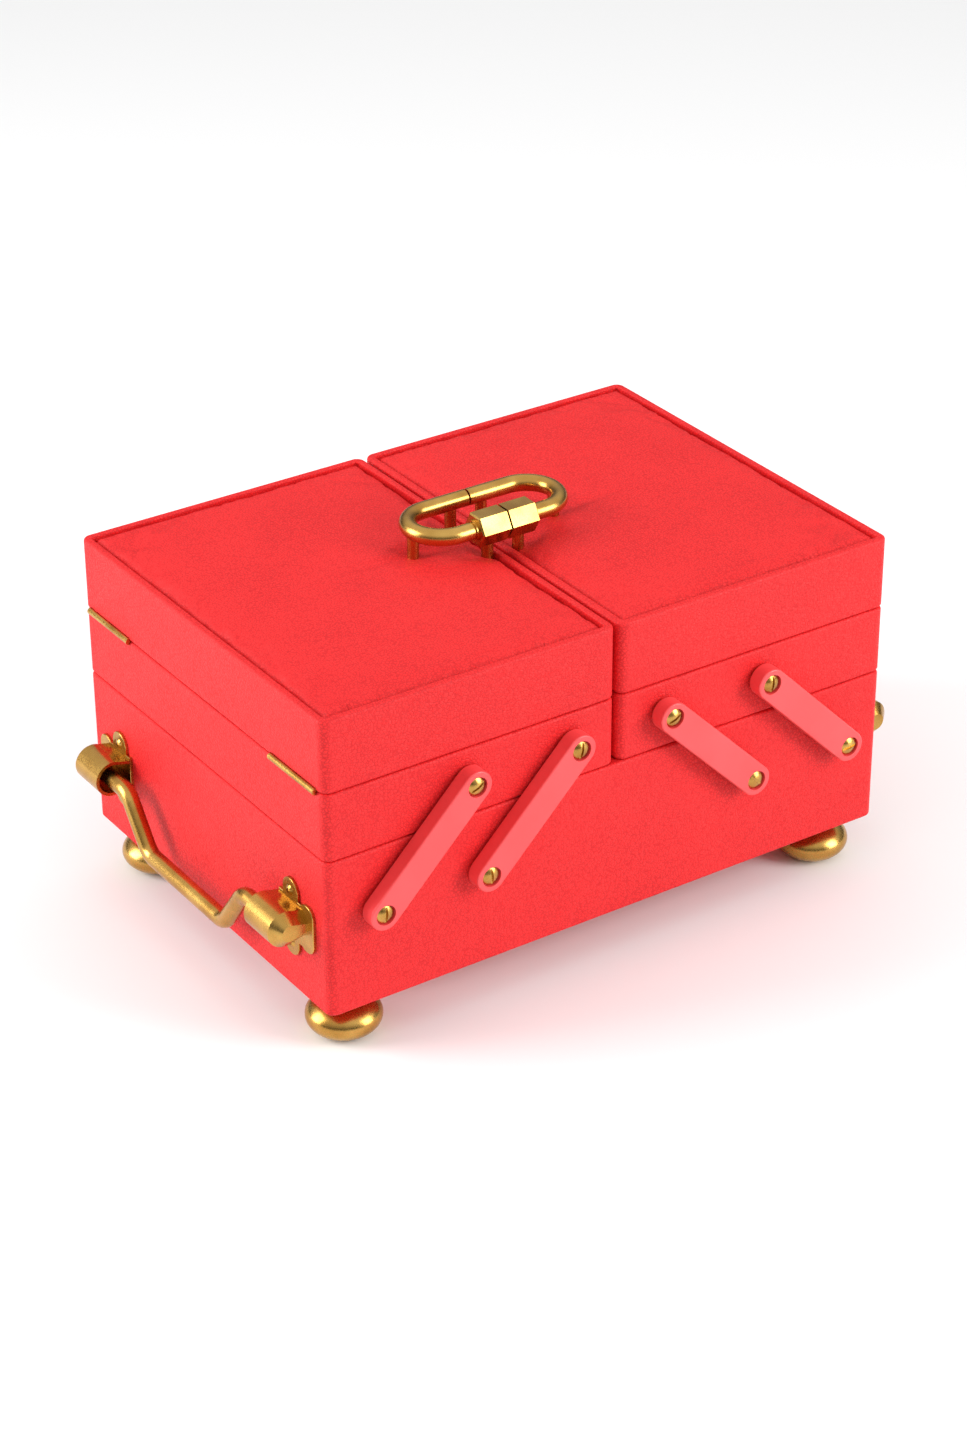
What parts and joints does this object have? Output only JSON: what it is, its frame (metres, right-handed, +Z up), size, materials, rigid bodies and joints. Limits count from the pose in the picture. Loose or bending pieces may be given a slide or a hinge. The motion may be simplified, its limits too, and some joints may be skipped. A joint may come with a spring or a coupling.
{
  "type": "sewing box with trays",
  "caption": "Leather-covered sewing box: side-by-side trays swing out on lever arms, each with a padded hinged lid; brass ball feet, bail handles and a link clasp.",
  "frame": {"origin": "on the table under the middle of the box", "axes": "+X along the width, +Y to the back, +Z up"},
  "size_m": [0.3382, 0.2256, 0.1906],
  "materials": {
    "red_leather": "fine pebble grain, semi-matt",
    "padded_leather": "fine pebble grain over soft padding",
    "lining_cloth": "short-napped cloth",
    "arm_lacquer": "smooth satin lacquer",
    "antique_brass": "brushed satin with an antiqued tone"
  },
  "bodies": {
    "base": {"bail_plate_screws_left": "antique_brass", "bail_plate_screws_right": "antique_brass", "bail_plates_left": "antique_brass", "bail_plates_right": "antique_brass", "bail_sleeves_left": "antique_brass", "bail_sleeves_right": "antique_brass", "base_box": "red_leather", "base_lining": "lining_cloth", "feet": "antique_brass", "foot_studs": "antique_brass", "pivot_screws_base": "antique_brass", "pivot_washers_base": "antique_brass"},
    "tray_left": {"hinge_pins_left": "antique_brass", "hinge_tray_leaves_left": "antique_brass", "pivot_screws_tray_left": "antique_brass", "pivot_washers_tray_left": "antique_brass", "tray_box_left": "red_leather", "tray_lining_left": "lining_cloth"},
    "lid_left": {"hinge_lid_leaves_left": "antique_brass", "lid_frame_left": "red_leather", "lid_lining_left": "lining_cloth", "lid_panel_left": "padded_leather", "link_nut_left": "antique_brass", "link_post_screws_left": "antique_brass", "link_posts_left": "antique_brass", "link_rod_left": "antique_brass"},
    "bail_left": {"bail_left": "antique_brass"},
    "arm_front_left_outer": {"arm_front_left_outer": "arm_lacquer"},
    "arm_front_left_inner": {"arm_front_left_inner": "arm_lacquer"},
    "arm_back_left_outer": {"arm_back_left_outer": "arm_lacquer"},
    "arm_back_left_inner": {"arm_back_left_inner": "arm_lacquer"},
    "tray_right": {"hinge_pins_right": "antique_brass", "hinge_tray_leaves_right": "antique_brass", "pivot_screws_tray_right": "antique_brass", "pivot_washers_tray_right": "antique_brass", "tray_box_right": "red_leather", "tray_lining_right": "lining_cloth"},
    "lid_right": {"hinge_lid_leaves_right": "antique_brass", "lid_frame_right": "red_leather", "lid_lining_right": "lining_cloth", "lid_panel_right": "padded_leather", "link_nut_right": "antique_brass", "link_post_screws_right": "antique_brass", "link_posts_right": "antique_brass", "link_rod_right": "antique_brass"},
    "bail_right": {"bail_right": "antique_brass"},
    "arm_front_right_outer": {"arm_front_right_outer": "arm_lacquer"},
    "arm_front_right_inner": {"arm_front_right_inner": "arm_lacquer"},
    "arm_back_right_outer": {"arm_back_right_outer": "arm_lacquer"},
    "arm_back_right_inner": {"arm_back_right_inner": "arm_lacquer"}
  },
  "joints": [
    {"name": "swing_left", "type": "hinge", "parent": "base", "child": "arm_front_left_outer", "pos_m": [-0.126, -0.1085, 0.073], "axis": [0, -1, 0], "range_deg": [0, 89]},
    {"name": "swing_left_front_inner", "type": "hinge", "parent": "base", "child": "arm_front_left_inner", "pos_m": [-0.072, -0.1085, 0.073], "axis": [0, -1, 0], "range_deg": [-0.5, 89.5]},
    {"name": "swing_left_back_outer", "type": "hinge", "parent": "base", "child": "arm_back_left_outer", "pos_m": [-0.126, 0.1085, 0.073], "axis": [0, -1, 0], "range_deg": [-0.5, 89.5]},
    {"name": "swing_left_back_inner", "type": "hinge", "parent": "base", "child": "arm_back_left_inner", "pos_m": [-0.072, 0.1085, 0.073], "axis": [0, -1, 0], "range_deg": [-0.5, 89.5]},
    {"name": "tray_level_left", "type": "hinge", "parent": "arm_front_left_outer", "child": "tray_left", "pos_m": [-0.079, -0.1085, 0.1202], "axis": [0, -1, 0], "range_deg": [-89.5, 0.5]},
    {"name": "lid_hinge_left", "type": "hinge", "parent": "tray_left", "child": "lid_left", "pos_m": [-0.1503, 0, 0.1348], "axis": [0, -1, 0], "range_deg": [0, 105]},
    {"name": "bail_swing_left", "type": "hinge", "parent": "base", "child": "bail_left", "pos_m": [-0.1605, 0, 0.0647], "axis": [0, 1, 0], "range_deg": [-14, 190]},
    {"name": "swing_right", "type": "hinge", "parent": "base", "child": "arm_front_right_outer", "pos_m": [0.126, -0.1085, 0.073], "axis": [0, 1, 0], "range_deg": [0, 89]},
    {"name": "swing_right_front_inner", "type": "hinge", "parent": "base", "child": "arm_front_right_inner", "pos_m": [0.072, -0.1085, 0.073], "axis": [0, 1, 0], "range_deg": [-0.5, 89.5]},
    {"name": "swing_right_back_outer", "type": "hinge", "parent": "base", "child": "arm_back_right_outer", "pos_m": [0.126, 0.1085, 0.073], "axis": [0, 1, 0], "range_deg": [-0.5, 89.5]},
    {"name": "swing_right_back_inner", "type": "hinge", "parent": "base", "child": "arm_back_right_inner", "pos_m": [0.072, 0.1085, 0.073], "axis": [0, 1, 0], "range_deg": [-0.5, 89.5]},
    {"name": "tray_level_right", "type": "hinge", "parent": "arm_front_right_outer", "child": "tray_right", "pos_m": [0.079, -0.1085, 0.1202], "axis": [0, 1, 0], "range_deg": [-89.5, 0.5]},
    {"name": "lid_hinge_right", "type": "hinge", "parent": "tray_right", "child": "lid_right", "pos_m": [0.1503, 0, 0.1348], "axis": [0, 1, 0], "range_deg": [0, 105]},
    {"name": "bail_swing_right", "type": "hinge", "parent": "base", "child": "bail_right", "pos_m": [0.1605, 0, 0.0647], "axis": [0, -1, 0], "range_deg": [-14, 190]}
  ],
  "couplings": [
    {"joint": "swing_left_front_inner", "follows": "swing_left", "ratio": 1},
    {"joint": "swing_left_back_outer", "follows": "swing_left", "ratio": 1},
    {"joint": "swing_left_back_inner", "follows": "swing_left", "ratio": 1},
    {"joint": "tray_level_left", "follows": "swing_left", "ratio": -1},
    {"joint": "swing_right_front_inner", "follows": "swing_right", "ratio": 1},
    {"joint": "swing_right_back_outer", "follows": "swing_right", "ratio": 1},
    {"joint": "swing_right_back_inner", "follows": "swing_right", "ratio": 1},
    {"joint": "tray_level_right", "follows": "swing_right", "ratio": -1}
  ]
}
